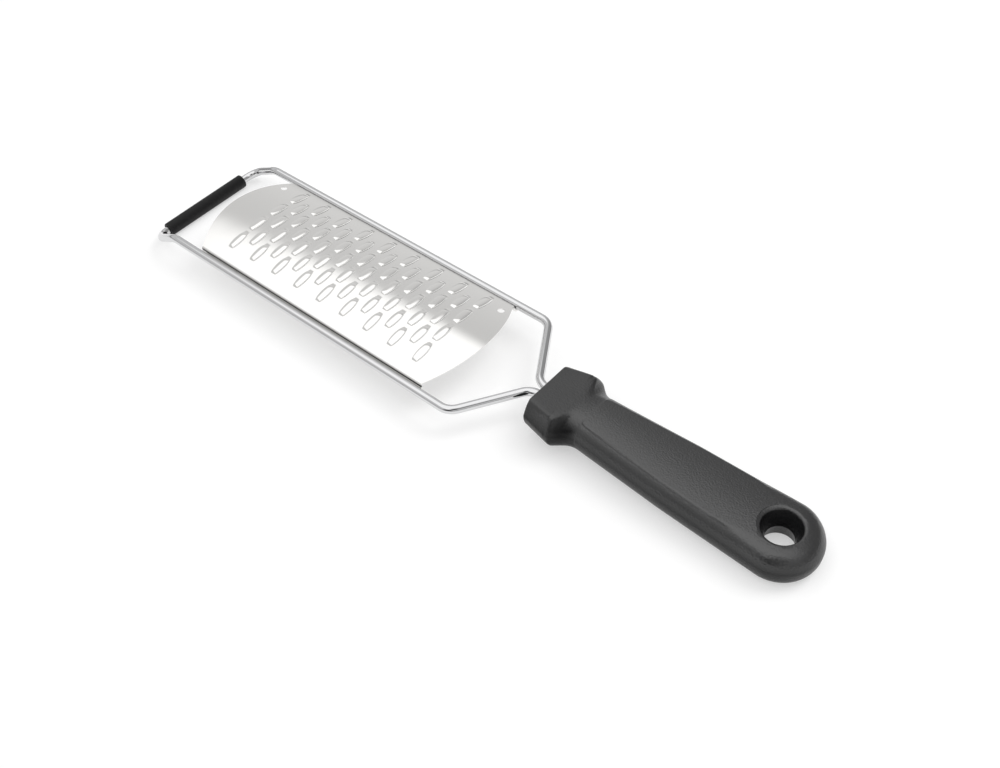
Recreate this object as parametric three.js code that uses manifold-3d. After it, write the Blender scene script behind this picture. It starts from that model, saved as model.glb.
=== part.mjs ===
// Hand grater: a toothed steel blade sprung between the rails of a bent wire frame,
// a moulded handle on the wire's two tangs, and a rubber sleeve as the foot at the far end.
// Millimetres, +X towards the handle, +Z up. The part stands on z = 0.

import * as THREE from 'three';
import { mergeVertices } from 'three/addons/utils/BufferGeometryUtils.js';
import Module from 'manifold-3d';

const wasm = await Module();
wasm.setup();

// Fit between any two pieces that touch
const CLEARANCE = 0.3;

// Wire frame, measured on the centre line of the wire
const WIRE_DIAMETER = 4;
const RAIL_SPACING = 65;
const RAIL_LENGTH = 181;
const NECK_LENGTH = 19.5;
const TANG_GAP = 0.9;
const TANG_DEPTH = 49;
const FOOT_REACH = 18;
const NECK_BEND_RADIUS = 8;
const TANG_BEND_RADIUS = 7.5;
const DIP_BEND_RADIUS = 12;
const CROSSBAR_BEND_RADIUS = 7;

// Foot sleeve, which stops short of the crossbar's corner bends by a gap at each end
const SLEEVE_WALL = 1.1;
const SLEEVE_EDGE = 0.4;
const SLEEVE_NEAR_GAP = 0.2;
const SLEEVE_FAR_GAP = 2.7;

// Blade, with its end gaps measured from the corners of the rails
const SHEET_THICKNESS = 0.5;
const BLADE_END_GAP = 8.7;
const BLADE_END_BOW = 9.2;
const BLADE_RISE = 4.5;
const BLADE_EDGE_HEIGHT = 1.9;
const HEM_INNER_RADIUS = 0.5;
const PILOT_DIAMETER = 3.2;
const PILOT_SETBACK = 1;
const PILOT_RAIL_DISTANCE = 10;

// Teeth, in staggered columns that fill the blade between its margins
const TOOTH_LENGTH = 10.4;
const TOOTH_WIDTH = 4;
const TOOTH_END_WIDTH = 2.4;
const TOOTH_RISE = 1.2;
const TOOTH_RAMP = 2;
const TOOTH_SLIT = 0.2;
const TOOTH_GAP = 2.6;
const COLUMN_GAP = 3.57;
const TOOTH_END_MARGIN = 18;
const TOOTH_HEM_MARGIN = 4;
const TOOTH_FIELD_SHIFT_X = 1.4;
const TOOTH_FIELD_SHIFT_Y = 1.9;

// Handle, measured from the front face of its collar, with bare wire between collar and tang bends.
// Its middle lies a little above the tangs.
const HANDLE_STANDOFF = 2.4;
const HANDLE_TILT = THREE.MathUtils.degToRad(2.1);
const HANDLE_THICKNESS = 15.8;
const HANDLE_RISE = 0.55;
const HANDLE_LENGTH = 129.5;
const SIDE_ROUNDING = 5;
const PARTING_LAND = 0.4;
const CROWN_RADIUS = 60;
const COLLAR_WIDTH = 31.6;
const COLLAR_FLARE_WIDTH = 37;
const COLLAR_LENGTH = 15.2;
const COLLAR_CORNER_RADIUS = 5.3;
const SHOULDER_LENGTH = 8;
const SHOULDER_FILLET_RADIUS = 6;
const GRIP_NECK_WIDTH = 25;
const GRIP_MIDDLE_WIDTH = 30.4;
const GRIP_BOW_RADIUS = 180;
const GRIP_END_WIDTH = 33.4;
const HANGING_HOLE_DIAMETER = 16.6;
const HANGING_HOLE_WAIST = 11.2;
const HANGING_HOLE_UNDER_DIAMETER = 14.2;
const HANGING_HOLE_CHAMFER = 0.4;

// Fineness of the round forms
const WIRE_SIDES = 12;
const BEND_STEPS = 5;
const ARCH_STEPS = 16;
const HEM_STEPS = 4;
const BLADE_END_STEPS = 14;
const TOOTH_SIDE_STEPS = 3;
const LATHE_STEPS = 28;
const HANDLE_END_STEPS = 16;
const ROUNDING_STEPS = 5;

const WELD = 1e-4;
const CUT_MARGIN = 2;

// Sizes that follow from the ones above
const wireRadius = WIRE_DIAMETER / 2;
const railY = RAIL_SPACING / 2;
const tangY = (WIRE_DIAMETER + TANG_GAP) / 2;
const tangTurn = Math.atan2(railY - tangY, NECK_LENGTH);
const handleStart = TANG_BEND_RADIUS * Math.tan(tangTurn / 2) + HANDLE_STANDOFF;
const boreRadius = wireRadius + CLEARANCE;
const halfThickness = HANDLE_THICKNESS / 2;
const gripEndRadius = GRIP_END_WIDTH / 2;
const holeX = HANDLE_LENGTH - gripEndRadius;
const handleLowest = (handleStart + HANDLE_LENGTH - SIDE_ROUNDING) * Math.sin(HANDLE_TILT)
  + (halfThickness - HANDLE_RISE) * Math.cos(HANDLE_TILT);
const sleeveRadius = boreRadius + SLEEVE_WALL;
const crossbarX = -RAIL_LENGTH - FOOT_REACH;
const crossbarZ = sleeveRadius - handleLowest;
const crossbarBendY = railY - CROSSBAR_BEND_RADIUS;

// The arch of the blade and the bends at its two long edges
const bladeX = -RAIL_LENGTH / 2;
const bladeLength = RAIL_LENGTH - 2 * BLADE_END_GAP;
const hemY = railY - boreRadius;
const archRadius = (hemY ** 2 + BLADE_RISE ** 2) / (2 * BLADE_RISE);
const archZ = BLADE_EDGE_HEIGHT + BLADE_RISE - archRadius;
const hemBendRadius = HEM_INNER_RADIUS + SHEET_THICKNESS;
const bendY = hemY - hemBendRadius;
const bendZ = archZ + Math.sqrt((archRadius - hemBendRadius) ** 2 - bendY ** 2);
const archAngle = Math.asin(bendY / (archRadius - hemBendRadius));
const hemEndX = bladeLength / 2 - BLADE_END_BOW;

// The number of teeth that the blade has room for
const toothPitch = TOOTH_LENGTH + TOOTH_GAP;
const columnPitch = 2 * (TOOTH_WIDTH + COLUMN_GAP);
const longColumns = 1 + Math.floor((bladeLength - 2 * TOOTH_END_MARGIN) / columnPitch);
const teethPerLongColumn = 1 + Math.floor((2 * (hemY - TOOTH_HEM_MARGIN) - TOOTH_LENGTH) / toothPitch);

// A closed three.js geometry as a solid that can be joined and cut
function toSolid(geometry) {
  const bare = geometry.clone();
  bare.deleteAttribute('normal');
  bare.deleteAttribute('uv');
  const welded = mergeVertices(bare, WELD);
  const mesh = new wasm.Mesh({
    numProp: 3,
    vertProperties: new Float32Array(welded.attributes.position.array),
    triVerts: new Uint32Array(welded.index.array),
  });
  return new wasm.Manifold(mesh);
}

function toGeometry(solid) {
  const mesh = solid.getMesh();
  const geometry = new THREE.BufferGeometry();
  geometry.setAttribute('position', new THREE.BufferAttribute(mesh.vertProperties, 3));
  geometry.setIndex(new THREE.BufferAttribute(mesh.triVerts, 1));
  geometry.computeVertexNormals();
  return geometry;
}

function namedMesh(name, geometry, material) {
  const mesh = new THREE.Mesh(geometry, material);
  mesh.name = name;
  return mesh;
}

// An outline in the YZ plane, extruded along X and centred on x = 0
function extrudeAlongX(points, length) {
  const geometry = new THREE.ExtrudeGeometry(new THREE.Shape(points), { depth: length, bevelEnabled: false });
  const yzPlane = new THREE.Matrix4().makeBasis(
    new THREE.Vector3(0, 1, 0),
    new THREE.Vector3(0, 0, 1),
    new THREE.Vector3(1, 0, 0),
  );
  return geometry.translate(0, 0, -length / 2).applyMatrix4(yzPlane);
}

// An outline in the XY plane, extruded upwards from z = low to z = high
function extrudeAlongZ(shape, low, high, curveSegments) {
  const settings = { depth: high - low, bevelEnabled: false, curveSegments };
  return new THREE.ExtrudeGeometry(shape, settings).translate(0, 0, low);
}

function arcPoints(centreX, centreY, radius, from, to, steps) {
  const points = [];
  for (let step = 0; step <= steps; step += 1) {
    const angle = from + (to - from) * step / steps;
    points.push(new THREE.Vector2(centreX + radius * Math.cos(angle), centreY + radius * Math.sin(angle)));
  }
  return points;
}

// The corners of a line of points, each rounded to its own radius
function roundCorners(corners) {
  const path = [corners[0].point];
  for (let index = 1; index < corners.length - 1; index += 1) {
    const { point, radius } = corners[index];
    const back = corners[index - 1].point.clone().sub(point).normalize();
    const ahead = corners[index + 1].point.clone().sub(point).normalize();
    const turn = Math.PI - back.angleTo(ahead);
    const bisector = back.clone().add(ahead).normalize();
    const centre = point.clone().addScaledVector(bisector, radius / Math.cos(turn / 2));
    const spoke = point.clone().addScaledVector(back, radius * Math.tan(turn / 2)).sub(centre);
    const axis = new THREE.Vector3().crossVectors(ahead, back).normalize();
    for (let step = 0; step <= BEND_STEPS; step += 1) {
      path.push(spoke.clone().applyAxisAngle(axis, turn * step / BEND_STEPS).add(centre));
    }
  }
  path.push(corners.at(-1).point);
  return path;
}

// A curve that goes from station to station, so that each straight takes one step
class StationCurve extends THREE.Curve {
  constructor(stations) {
    super();
    this.stations = stations;
  }

  getPoint(t, target = new THREE.Vector3()) {
    const place = t * (this.stations.length - 1);
    const index = Math.min(Math.floor(place), this.stations.length - 2);
    return target.lerpVectors(this.stations[index], this.stations[index + 1], place - index);
  }

  getUtoTmapping(u) {
    return u;
  }
}

// The wire's corners on one side, from the tang in the handle to the end of the crossbar
function wireSide(side) {
  const tangLength = handleStart + TANG_DEPTH;
  const tangEnd = new THREE.Vector3(
    NECK_LENGTH + tangLength * Math.cos(HANDLE_TILT),
    side * tangY,
    -tangLength * Math.sin(HANDLE_TILT),
  );
  return [
    { point: tangEnd },
    { point: new THREE.Vector3(NECK_LENGTH, side * tangY, 0), radius: TANG_BEND_RADIUS },
    { point: new THREE.Vector3(0, side * railY, 0), radius: NECK_BEND_RADIUS },
    { point: new THREE.Vector3(-RAIL_LENGTH, side * railY, 0), radius: DIP_BEND_RADIUS },
    { point: new THREE.Vector3(crossbarX, side * railY, crossbarZ), radius: CROSSBAR_BEND_RADIUS },
  ];
}

function wireFrame() {
  const stations = roundCorners([...wireSide(1), ...wireSide(-1).reverse()]);
  const section = new THREE.Shape().absarc(0, 0, wireRadius, 0, 2 * Math.PI);
  const geometry = new THREE.ExtrudeGeometry(section, {
    extrudePath: new StationCurve(stations),
    steps: stations.length - 1,
    curveSegments: WIRE_SIDES / 2,
  });
  const steel = new THREE.MeshStandardMaterial({ color: 0xd8d9da, roughness: 0.15, metalness: 1 });
  return namedMesh('wire_frame', geometry, steel);
}

function footSleeve() {
  const near = SLEEVE_NEAR_GAP - crossbarBendY;
  const far = crossbarBendY - SLEEVE_FAR_GAP;
  const profile = [
    [boreRadius, near],
    [sleeveRadius - SLEEVE_EDGE, near],
    [sleeveRadius, near + SLEEVE_EDGE],
    [sleeveRadius, far - SLEEVE_EDGE],
    [sleeveRadius - SLEEVE_EDGE, far],
    [boreRadius, far],
    [boreRadius, near],
  ].map(([radius, y]) => new THREE.Vector2(radius, y));
  const rubber = new THREE.MeshStandardMaterial({ color: 0x1c1c1d, roughness: 0.6, metalness: 0 });
  const mesh = namedMesh('foot_sleeve', new THREE.LatheGeometry(profile, LATHE_STEPS), rubber);
  mesh.position.set(crossbarX, 0, crossbarZ);
  return mesh;
}

// The sheet in cross-section: the arch, and at each edge a bend, a flange and a hook under the rail
function sheetOutline() {
  const hookOuter = boreRadius + SHEET_THICKNESS;
  const upright = Math.PI / 2;
  const top = arcPoints(0, archZ, archRadius, upright, upright - archAngle, ARCH_STEPS / 2);
  const outerBend = arcPoints(bendY, bendZ, hemBendRadius, upright - archAngle, 0, HEM_STEPS);
  const innerHook = arcPoints(railY, 0, boreRadius, Math.PI, 1.5 * Math.PI, HEM_STEPS);
  const outerHook = arcPoints(railY, 0, hookOuter, 1.5 * Math.PI, Math.PI, HEM_STEPS);
  const innerBend = arcPoints(bendY, bendZ, HEM_INNER_RADIUS, 0, upright - archAngle, HEM_STEPS);
  const underRadius = archRadius - SHEET_THICKNESS;
  const underside = arcPoints(0, archZ, underRadius, upright - archAngle, upright, ARCH_STEPS / 2);
  const farHalf = [
    ...top,
    ...outerBend.slice(1),
    ...innerHook,
    ...outerHook,
    ...innerBend,
    ...underside.slice(1),
  ];
  const nearHalf = farHalf.slice(1, -1).reverse().map((point) => new THREE.Vector2(-point.x, point.y));
  return [...farHalf, ...nearHalf];
}

// The plan of the blade: straight along the hems, with a shallow arc at each end
function bladePlan() {
  const hookY = railY + CUT_MARGIN;
  const endRadius = (hemY ** 2 + BLADE_END_BOW ** 2) / (2 * BLADE_END_BOW);
  const halfAngle = Math.asin(hemY / endRadius);
  const centreX = bladeLength / 2 - endRadius;
  const handleEnd = arcPoints(centreX, 0, endRadius, -halfAngle, halfAngle, BLADE_END_STEPS);
  const footEnd = handleEnd.map((point) => new THREE.Vector2(-point.x, -point.y));
  return new THREE.Shape([
    new THREE.Vector2(hemEndX, -hookY),
    ...handleEnd,
    new THREE.Vector2(hemEndX, hookY),
    new THREE.Vector2(-hemEndX, hookY),
    ...footEnd,
    new THREE.Vector2(-hemEndX, -hookY),
  ]);
}

// A barrel outline with blunt ends; a tongue carries each end past the barrel's length
function barrelPlan(spread, tongue) {
  const end = TOOTH_LENGTH / 2;
  const endX = TOOTH_END_WIDTH / 2 + spread;
  const bulgeX = TOOTH_WIDTH + 2 * spread - endX;
  const shape = new THREE.Shape();
  shape.moveTo(endX, -end - tongue);
  shape.lineTo(endX, -end);
  shape.quadraticCurveTo(bulgeX, 0, endX, end);
  shape.lineTo(endX, end + tongue);
  shape.lineTo(-endX, end + tongue);
  shape.lineTo(-endX, end);
  shape.quadraticCurveTo(-bulgeX, 0, -endX, -end);
  shape.lineTo(-endX, -end - tongue);
  shape.closePath();
  return shape;
}

// One tooth: a bridge that ramps up from the sheet, its ends rooted inside the sheet's thickness
function toothBridge() {
  const root = SHEET_THICKNESS;
  const rootTop = -SHEET_THICKNESS / 4;
  const rootBottom = -SHEET_THICKNESS + SHEET_THICKNESS / 4;
  const end = TOOTH_LENGTH / 2;
  const plateau = end - TOOTH_RAMP;
  const halfProfile = [
    [plateau, TOOTH_RISE],
    [end, rootTop],
    [end + root, rootTop],
    [end + root, rootBottom],
    [end, rootBottom],
    [plateau, TOOTH_RISE - SHEET_THICKNESS],
  ].map(([y, z]) => new THREE.Vector2(y, z));
  const mirrored = [...halfProfile].reverse().map((point) => new THREE.Vector2(-point.x, point.y));
  const strip = toSolid(extrudeAlongX([...halfProfile, ...mirrored], TOOTH_WIDTH + CUT_MARGIN));
  const outline = barrelPlan(0, root + CUT_MARGIN);
  const plan = extrudeAlongZ(outline, -CUT_MARGIN, TOOTH_RISE + CUT_MARGIN, TOOTH_SIDE_STEPS);
  return toGeometry(strip.intersect(toSolid(plan)));
}

// A place on the top of the arch, with its Z axis along the sheet's normal
function placeOnArch(x, y) {
  const slope = Math.asin(y / archRadius);
  const place = new THREE.Matrix4().makeRotationX(-slope);
  return place.setPosition(x, y, archZ + archRadius * Math.cos(slope));
}

// Long columns alternate with columns that are one tooth shorter
function toothPlaces() {
  const places = [];
  for (let column = 0; column < 2 * longColumns - 1; column += 1) {
    const count = teethPerLongColumn - column % 2;
    const x = bladeX + TOOTH_FIELD_SHIFT_X + (column / 2 - (longColumns - 1) / 2) * columnPitch;
    for (let tooth = 0; tooth < count; tooth += 1) {
      places.push(placeOnArch(x, TOOTH_FIELD_SHIFT_Y + (tooth - (count - 1) / 2) * toothPitch));
    }
  }
  return places;
}

function blade() {
  const sheet = toSolid(extrudeAlongX(sheetOutline(), bladeLength + CUT_MARGIN).translate(bladeX, 0, 0));
  const plan = extrudeAlongZ(bladePlan(), archZ, BLADE_EDGE_HEIGHT + BLADE_RISE + CUT_MARGIN, 1);
  let solid = sheet.intersect(toSolid(plan.translate(bladeX, 0, 0)));

  const slot = extrudeAlongZ(barrelPlan(TOOTH_SLIT, 0), -CUT_MARGIN, CUT_MARGIN, TOOTH_SIDE_STEPS);
  const bridge = toothBridge();
  for (const place of toothPlaces()) {
    solid = solid.subtract(toSolid(slot.clone().applyMatrix4(place)));
    solid = solid.add(toSolid(bridge.clone().applyMatrix4(place)));
  }

  const pilotRadius = PILOT_DIAMETER / 2;
  const pilot = new THREE.CylinderGeometry(pilotRadius, pilotRadius, 2 * CUT_MARGIN, WIRE_SIDES);
  pilot.rotateX(Math.PI / 2);
  for (const end of [-1, 1]) {
    const place = placeOnArch(bladeX + end * (hemEndX - PILOT_SETBACK), railY - PILOT_RAIL_DISTANCE);
    solid = solid.subtract(toSolid(pilot.clone().applyMatrix4(place)));
  }

  const steel = new THREE.MeshStandardMaterial({ color: 0xd3d4d5, roughness: 0.2, metalness: 1 });
  return namedMesh('blade', toGeometry(solid), steel);
}

// The handle's widest outline, at mid thickness: collar, shoulders, bowed grip and round end
function handlePlan() {
  const flareSlope = (COLLAR_FLARE_WIDTH - COLLAR_WIDTH) / 2 / COLLAR_LENGTH;
  const neckX = COLLAR_LENGTH + SHOULDER_LENGTH;
  const leadIn = SIDE_ROUNDING + CUT_MARGIN;
  const at = (x, width) => new THREE.Vector3(x, width / 2, 0);
  const side = roundCorners([
    { point: at(-leadIn, COLLAR_WIDTH - 2 * flareSlope * leadIn) },
    { point: at(COLLAR_LENGTH, COLLAR_FLARE_WIDTH), radius: COLLAR_CORNER_RADIUS },
    { point: at(neckX, GRIP_NECK_WIDTH), radius: SHOULDER_FILLET_RADIUS },
    { point: at((neckX + holeX) / 2, GRIP_MIDDLE_WIDTH), radius: GRIP_BOW_RADIUS },
    { point: at(holeX, GRIP_END_WIDTH) },
  ]).map((point) => new THREE.Vector2(point.x, point.y));
  const roundEnd = arcPoints(holeX, 0, gripEndRadius, Math.PI / 2, -Math.PI / 2, HANDLE_END_STEPS);
  const otherSide = [...side].reverse().map((point) => new THREE.Vector2(point.x, -point.y));
  return new THREE.Shape([...side, ...roundEnd.slice(1, -1), ...otherSide].reverse());
}

// Everything under the handle's crowned top, which is flat below
function underCrown() {
  const width = COLLAR_FLARE_WIDTH;
  const crownZ = halfThickness - CROWN_RADIUS;
  const halfAngle = Math.asin(width / 2 / CROWN_RADIUS);
  const upright = Math.PI / 2;
  const crown = arcPoints(0, crownZ, CROWN_RADIUS, upright - halfAngle, upright + halfAngle, ARCH_STEPS);
  const floor = -halfThickness - CUT_MARGIN;
  const outline = [...crown, new THREE.Vector2(-width / 2, floor), new THREE.Vector2(width / 2, floor)];
  return extrudeAlongX(outline, 2 * HANDLE_LENGTH + CUT_MARGIN);
}

// The hanging hole narrows to its waist from both faces and has a chamfered rim
function hangingHole() {
  const rim = HANGING_HOLE_DIAMETER / 2;
  const underRim = HANGING_HOLE_UNDER_DIAMETER / 2;
  const level = halfThickness - HANGING_HOLE_CHAMFER;
  const flare = HANGING_HOLE_CHAMFER + CUT_MARGIN;
  const profile = [
    [0, -level - flare],
    [underRim + flare, -level - flare],
    [underRim, -level],
    [HANGING_HOLE_WAIST / 2, 0],
    [rim, level],
    [rim + flare, level + flare],
    [0, level + flare],
  ].map(([radius, y]) => new THREE.Vector2(radius, y));
  return new THREE.LatheGeometry(profile, LATHE_STEPS).rotateX(Math.PI / 2).translate(holeX, 0, 0);
}

// One blind socket with round sides holds both tangs
function tangSocket() {
  const depth = TANG_DEPTH + CLEARANCE;
  const farSide = arcPoints(tangY, 0, boreRadius, -Math.PI / 2, Math.PI / 2, WIRE_SIDES / 2);
  const nearSide = farSide.map((point) => new THREE.Vector2(-point.x, -point.y));
  const socket = extrudeAlongX([...farSide, ...nearSide], depth + CUT_MARGIN);
  return socket.translate((depth - CUT_MARGIN) / 2, 0, 0);
}

function handle() {
  const slab = new THREE.ExtrudeGeometry(handlePlan(), {
    depth: PARTING_LAND,
    bevelThickness: halfThickness - PARTING_LAND / 2,
    bevelSize: SIDE_ROUNDING,
    bevelOffset: -SIDE_ROUNDING,
    bevelSegments: ROUNDING_STEPS,
  }).translate(0, 0, -PARTING_LAND / 2);
  const frontWaste = new THREE.BoxGeometry(HANDLE_LENGTH, 2 * HANDLE_LENGTH, 2 * HANDLE_LENGTH);
  frontWaste.translate(-HANDLE_LENGTH / 2, 0, 0);
  const solid = toSolid(slab)
    .intersect(toSolid(underCrown()))
    .subtract(toSolid(frontWaste))
    .subtract(toSolid(hangingHole()))
    .translate([0, 0, HANDLE_RISE])
    .subtract(toSolid(tangSocket()));
  const plastic = new THREE.MeshStandardMaterial({ color: 0x3a3a3b, roughness: 0.55, metalness: 0 });
  const mesh = namedMesh('handle', toGeometry(solid), plastic);
  mesh.position.set(
    NECK_LENGTH + handleStart * Math.cos(HANDLE_TILT),
    0,
    -handleStart * Math.sin(HANDLE_TILT),
  );
  mesh.rotation.y = HANDLE_TILT;
  return mesh;
}

const grater = new THREE.Group();
grater.add(wireFrame(), footSleeve(), blade(), handle());

// Stand the part on z = 0, with the middle of its length over the origin
const box = new THREE.Box3().setFromObject(grater, true);
grater.position.set(-(box.min.x + box.max.x) / 2, 0, -box.min.z);

export default grater;
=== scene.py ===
# %% [markdown]
# # A hand grater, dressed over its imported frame
# The real grater is four pieces: a bent wire frame, a rubber sleeve on the wire's crossbar, an
# arched steel blade full of teeth, and a moulded handle. The CAD model already holds their sizes
# and places. This lesson loads it as a fixed frame, models each piece again with the thin edges,
# soft roundings and finish that show in a picture, and lets the new piece stand for the plain one.

# %% Load the frame
import math

import bmesh
import bpy
from mathutils import Matrix, Vector


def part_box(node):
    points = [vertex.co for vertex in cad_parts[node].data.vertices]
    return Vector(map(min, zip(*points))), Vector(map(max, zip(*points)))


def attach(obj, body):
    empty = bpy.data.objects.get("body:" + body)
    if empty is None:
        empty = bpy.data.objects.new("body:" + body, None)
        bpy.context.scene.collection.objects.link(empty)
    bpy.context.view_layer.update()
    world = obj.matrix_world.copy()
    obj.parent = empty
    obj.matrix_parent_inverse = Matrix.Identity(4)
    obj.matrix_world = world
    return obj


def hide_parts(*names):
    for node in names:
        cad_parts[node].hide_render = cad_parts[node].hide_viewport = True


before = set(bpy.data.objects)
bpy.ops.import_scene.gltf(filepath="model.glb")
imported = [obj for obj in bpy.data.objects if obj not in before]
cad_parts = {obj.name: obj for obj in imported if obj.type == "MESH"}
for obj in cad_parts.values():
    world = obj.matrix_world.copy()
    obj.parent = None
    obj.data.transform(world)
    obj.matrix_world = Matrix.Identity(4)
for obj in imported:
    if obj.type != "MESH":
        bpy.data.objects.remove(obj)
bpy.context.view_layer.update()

MM = 0.001
MERGE_DISTANCE = MM / 100

# %% [markdown]
# ## Places that come from the frame
# A new piece must sit exactly where its CAD node is. Typing every coordinate again would work, but
# a later change of size would then go unnoticed. So only the sizes that a box can't tell are
# written here, such as the radius of the wire, and the places are read from the boxes of the nodes.

# %% Rails, crossbar and handle, found from the boxes
WIRE_RADIUS = 2 * MM
RAIL_LENGTH = 181 * MM
NECK_LENGTH = 19.5 * MM
HANDLE_TILT = math.radians(2.1)
HALF_THICKNESS = 7.35 * MM

wire_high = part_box("wire_frame")[1]
blade_low, blade_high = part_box("blade")
sleeve_low, sleeve_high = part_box("foot_sleeve")
handle_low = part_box("handle")[0]

rail_y = wire_high.y - WIRE_RADIUS
rail_z = wire_high.z - WIRE_RADIUS
blade_x = (blade_low.x + blade_high.x) / 2
neck_x = blade_x + RAIL_LENGTH / 2
tang_x = neck_x + NECK_LENGTH
crossbar_x = (sleeve_low.x + sleeve_high.x) / 2
crossbar_z = (sleeve_low.z + sleeve_high.z) / 2

handle_x = handle_low.x + HALF_THICKNESS * math.sin(HANDLE_TILT)
handle_z = rail_z - (handle_x - tang_x) * math.tan(HANDLE_TILT)
handle_place = Matrix.Translation((handle_x, 0, handle_z)) @ Matrix.Rotation(HANDLE_TILT, 4, "Y")
print("rails at y", round(rail_y / MM, 2), "z", round(rail_z / MM, 2), "neck at x", round(neck_x / MM, 2))

# %% [markdown]
# ## Helpers for materials
# Colours are written as the hex values that a colour picker shows, and shaders want linear light,
# so one function converts them. A node tree is easiest to read when each node is one call that
# names its settings and says which sockets feed it, so another function adds a node with its links.

# %% Colour and node helpers
def linear(hex_colour):
    """The linear colour, with alpha, of an sRGB hex value."""
    channels = [int(hex_colour[place:place + 2], 16) / 255 for place in (1, 3, 5)]
    return [c / 12.92 if c <= 0.04045 else ((c + 0.055) / 1.055) ** 2.4 for c in channels] + [1]


def set_inputs(tree, node, inputs):
    """Gives each input a value, or a link from an output socket or from a node's first output."""
    for name, value in inputs.items():
        if isinstance(value, bpy.types.Node):
            value = value.outputs[0]
        if isinstance(value, bpy.types.NodeSocket):
            tree.links.new(value, node.inputs[name])
        else:
            node.inputs[name].default_value = value


def add_node(tree, kind, inputs=None, **settings):
    """A new node with its settings made and its inputs set."""
    node = tree.nodes.new("ShaderNode" + kind)
    for name, value in settings.items():
        setattr(node, name, value)
    set_inputs(tree, node, inputs or {})
    return node


def new_material(name, inputs):
    """A material with plain inputs on its Principled shader, and the tree for its patterns."""
    material = bpy.data.materials.new(name)
    material.use_nodes = True
    tree = material.node_tree
    shader = tree.nodes["Principled BSDF"]
    set_inputs(tree, shader, inputs)
    return material, tree, shader


print("white is", linear("#ffffff"))

# %% [markdown]
# ## Drawn stainless wire
# The wire is stainless steel, pulled through a die and then tumbled bright. The die leaves very
# fine lines along the wire, and the tumbling leaves it almost a mirror. The lines follow every
# bend, so the pattern can't use plain object coordinates: the wire carries its own attribute, a
# point on the unit circle for the way round and a length for the way along.

# %% Material: drawn stainless wire
# Die lines are about 0.02 mm apart; they are drawn ten times coarser here, so that they show.
DIE_LINE_SPACING = 0.2 * MM
DIE_LINE_LENGTH = 12 * MM
DIE_LINE_DEPTH = 0.02 * MM


def drawn_wire_steel():
    material, tree, shader = new_material(
        "stainless_wire_drawn_bright", {"Metallic": 1, "Base Color": linear("#d9d9da")}
    )
    drawn = add_node(tree, "Attribute", attribute_name="drawn")
    lines_around = WIRE_RADIUS / DIE_LINE_SPACING
    stretched = add_node(
        tree, "VectorMath", operation="MULTIPLY",
        inputs={0: drawn.outputs["Vector"], 1: (lines_around, lines_around, 1 / DIE_LINE_LENGTH)},
    )
    lines = add_node(tree, "TexNoise", {"Vector": stretched, "Scale": 1, "Detail": 3})
    gloss = add_node(tree, "MapRange", {"Value": lines, "To Min": 0.06, "To Max": 0.16})
    relief = add_node(tree, "Bump", {"Height": lines, "Strength": 0.04, "Distance": DIE_LINE_DEPTH})
    set_inputs(tree, shader, {"Roughness": gloss, "Normal": relief})
    return material


wire_steel = drawn_wire_steel()
print("material:", wire_steel.name)

# %% [markdown]
# ## Rolled stainless sheet
# The blade is cut from thin sheet that was rolled bright. Rollers leave a soft mirror with faint
# streaks along the rolling direction, which here runs along the blade. The pressing that makes the
# teeth leaves the sheet a little uneven, so a slow ripple is added too. Both patterns read object
# coordinates, because the blade is almost flat, and the streaks are stretched along X.

# %% Material: rolled stainless sheet
STREAK_LENGTH = 30 * MM
STREAK_WIDTH = 0.3 * MM
STREAK_DEPTH = 0.02 * MM
RIPPLE_SIZE = 14 * MM
RIPPLE_DEPTH = 0.03 * MM


def rolled_sheet_steel():
    material, tree, shader = new_material("stainless_sheet_rolled_bright", {"Metallic": 1})
    # The attribute rises along the bend of each hem, where the colour is mixed towards nearly black:
    # painted shade in the crevice between hem and rail.
    hem_shade = add_node(tree, "Attribute", attribute_name="hem_shade")
    darkness = add_node(
        tree, "MapRange", {"Value": hem_shade.outputs["Fac"], "From Min": 0.3, "From Max": 0.6}
    )
    tone = add_node(
        tree, "MixRGB", {"Fac": darkness, "Color1": linear("#efeeec"), "Color2": linear("#080808")}
    )
    place = add_node(tree, "TexCoord").outputs["Object"]
    stretched = add_node(
        tree, "VectorMath", operation="MULTIPLY",
        inputs={0: place, 1: (1 / STREAK_LENGTH, 1 / STREAK_WIDTH, 1 / STREAK_WIDTH)},
    )
    streaks = add_node(tree, "TexNoise", {"Vector": stretched, "Scale": 1, "Detail": 3})
    gloss = add_node(tree, "MapRange", {"Value": streaks, "To Min": 0.08, "To Max": 0.14})
    ripple = add_node(tree, "TexNoise", {"Vector": place, "Scale": 1 / RIPPLE_SIZE, "Detail": 1})
    waves = add_node(tree, "Bump", {"Height": ripple, "Strength": 1, "Distance": RIPPLE_DEPTH})
    relief = add_node(
        tree, "Bump", {"Height": streaks, "Strength": 0.05, "Distance": STREAK_DEPTH, "Normal": waves}
    )
    set_inputs(tree, shader, {"Base Color": tone, "Roughness": gloss, "Normal": relief})
    return material


sheet_steel = rolled_sheet_steel()
print("material:", sheet_steel.name)

# %% [markdown]
# ## Extruded rubber
# The sleeve is a cut length of extruded black rubber tube. The die leaves it smooth but dull, with
# a faint dusty bloom, so the roughness is high and drifts a little, and a very low bump breaks up
# the highlight along its top.

# %% Material: extruded rubber
BLOOM_SIZE = 2.5 * MM
# The skin of extruded rubber has grains of some 0.05 mm, drawn here as 0.4 mm so that they show.
SKIN_GRAIN_SIZE = 0.4 * MM
SKIN_GRAIN_DEPTH = 0.05 * MM


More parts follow.
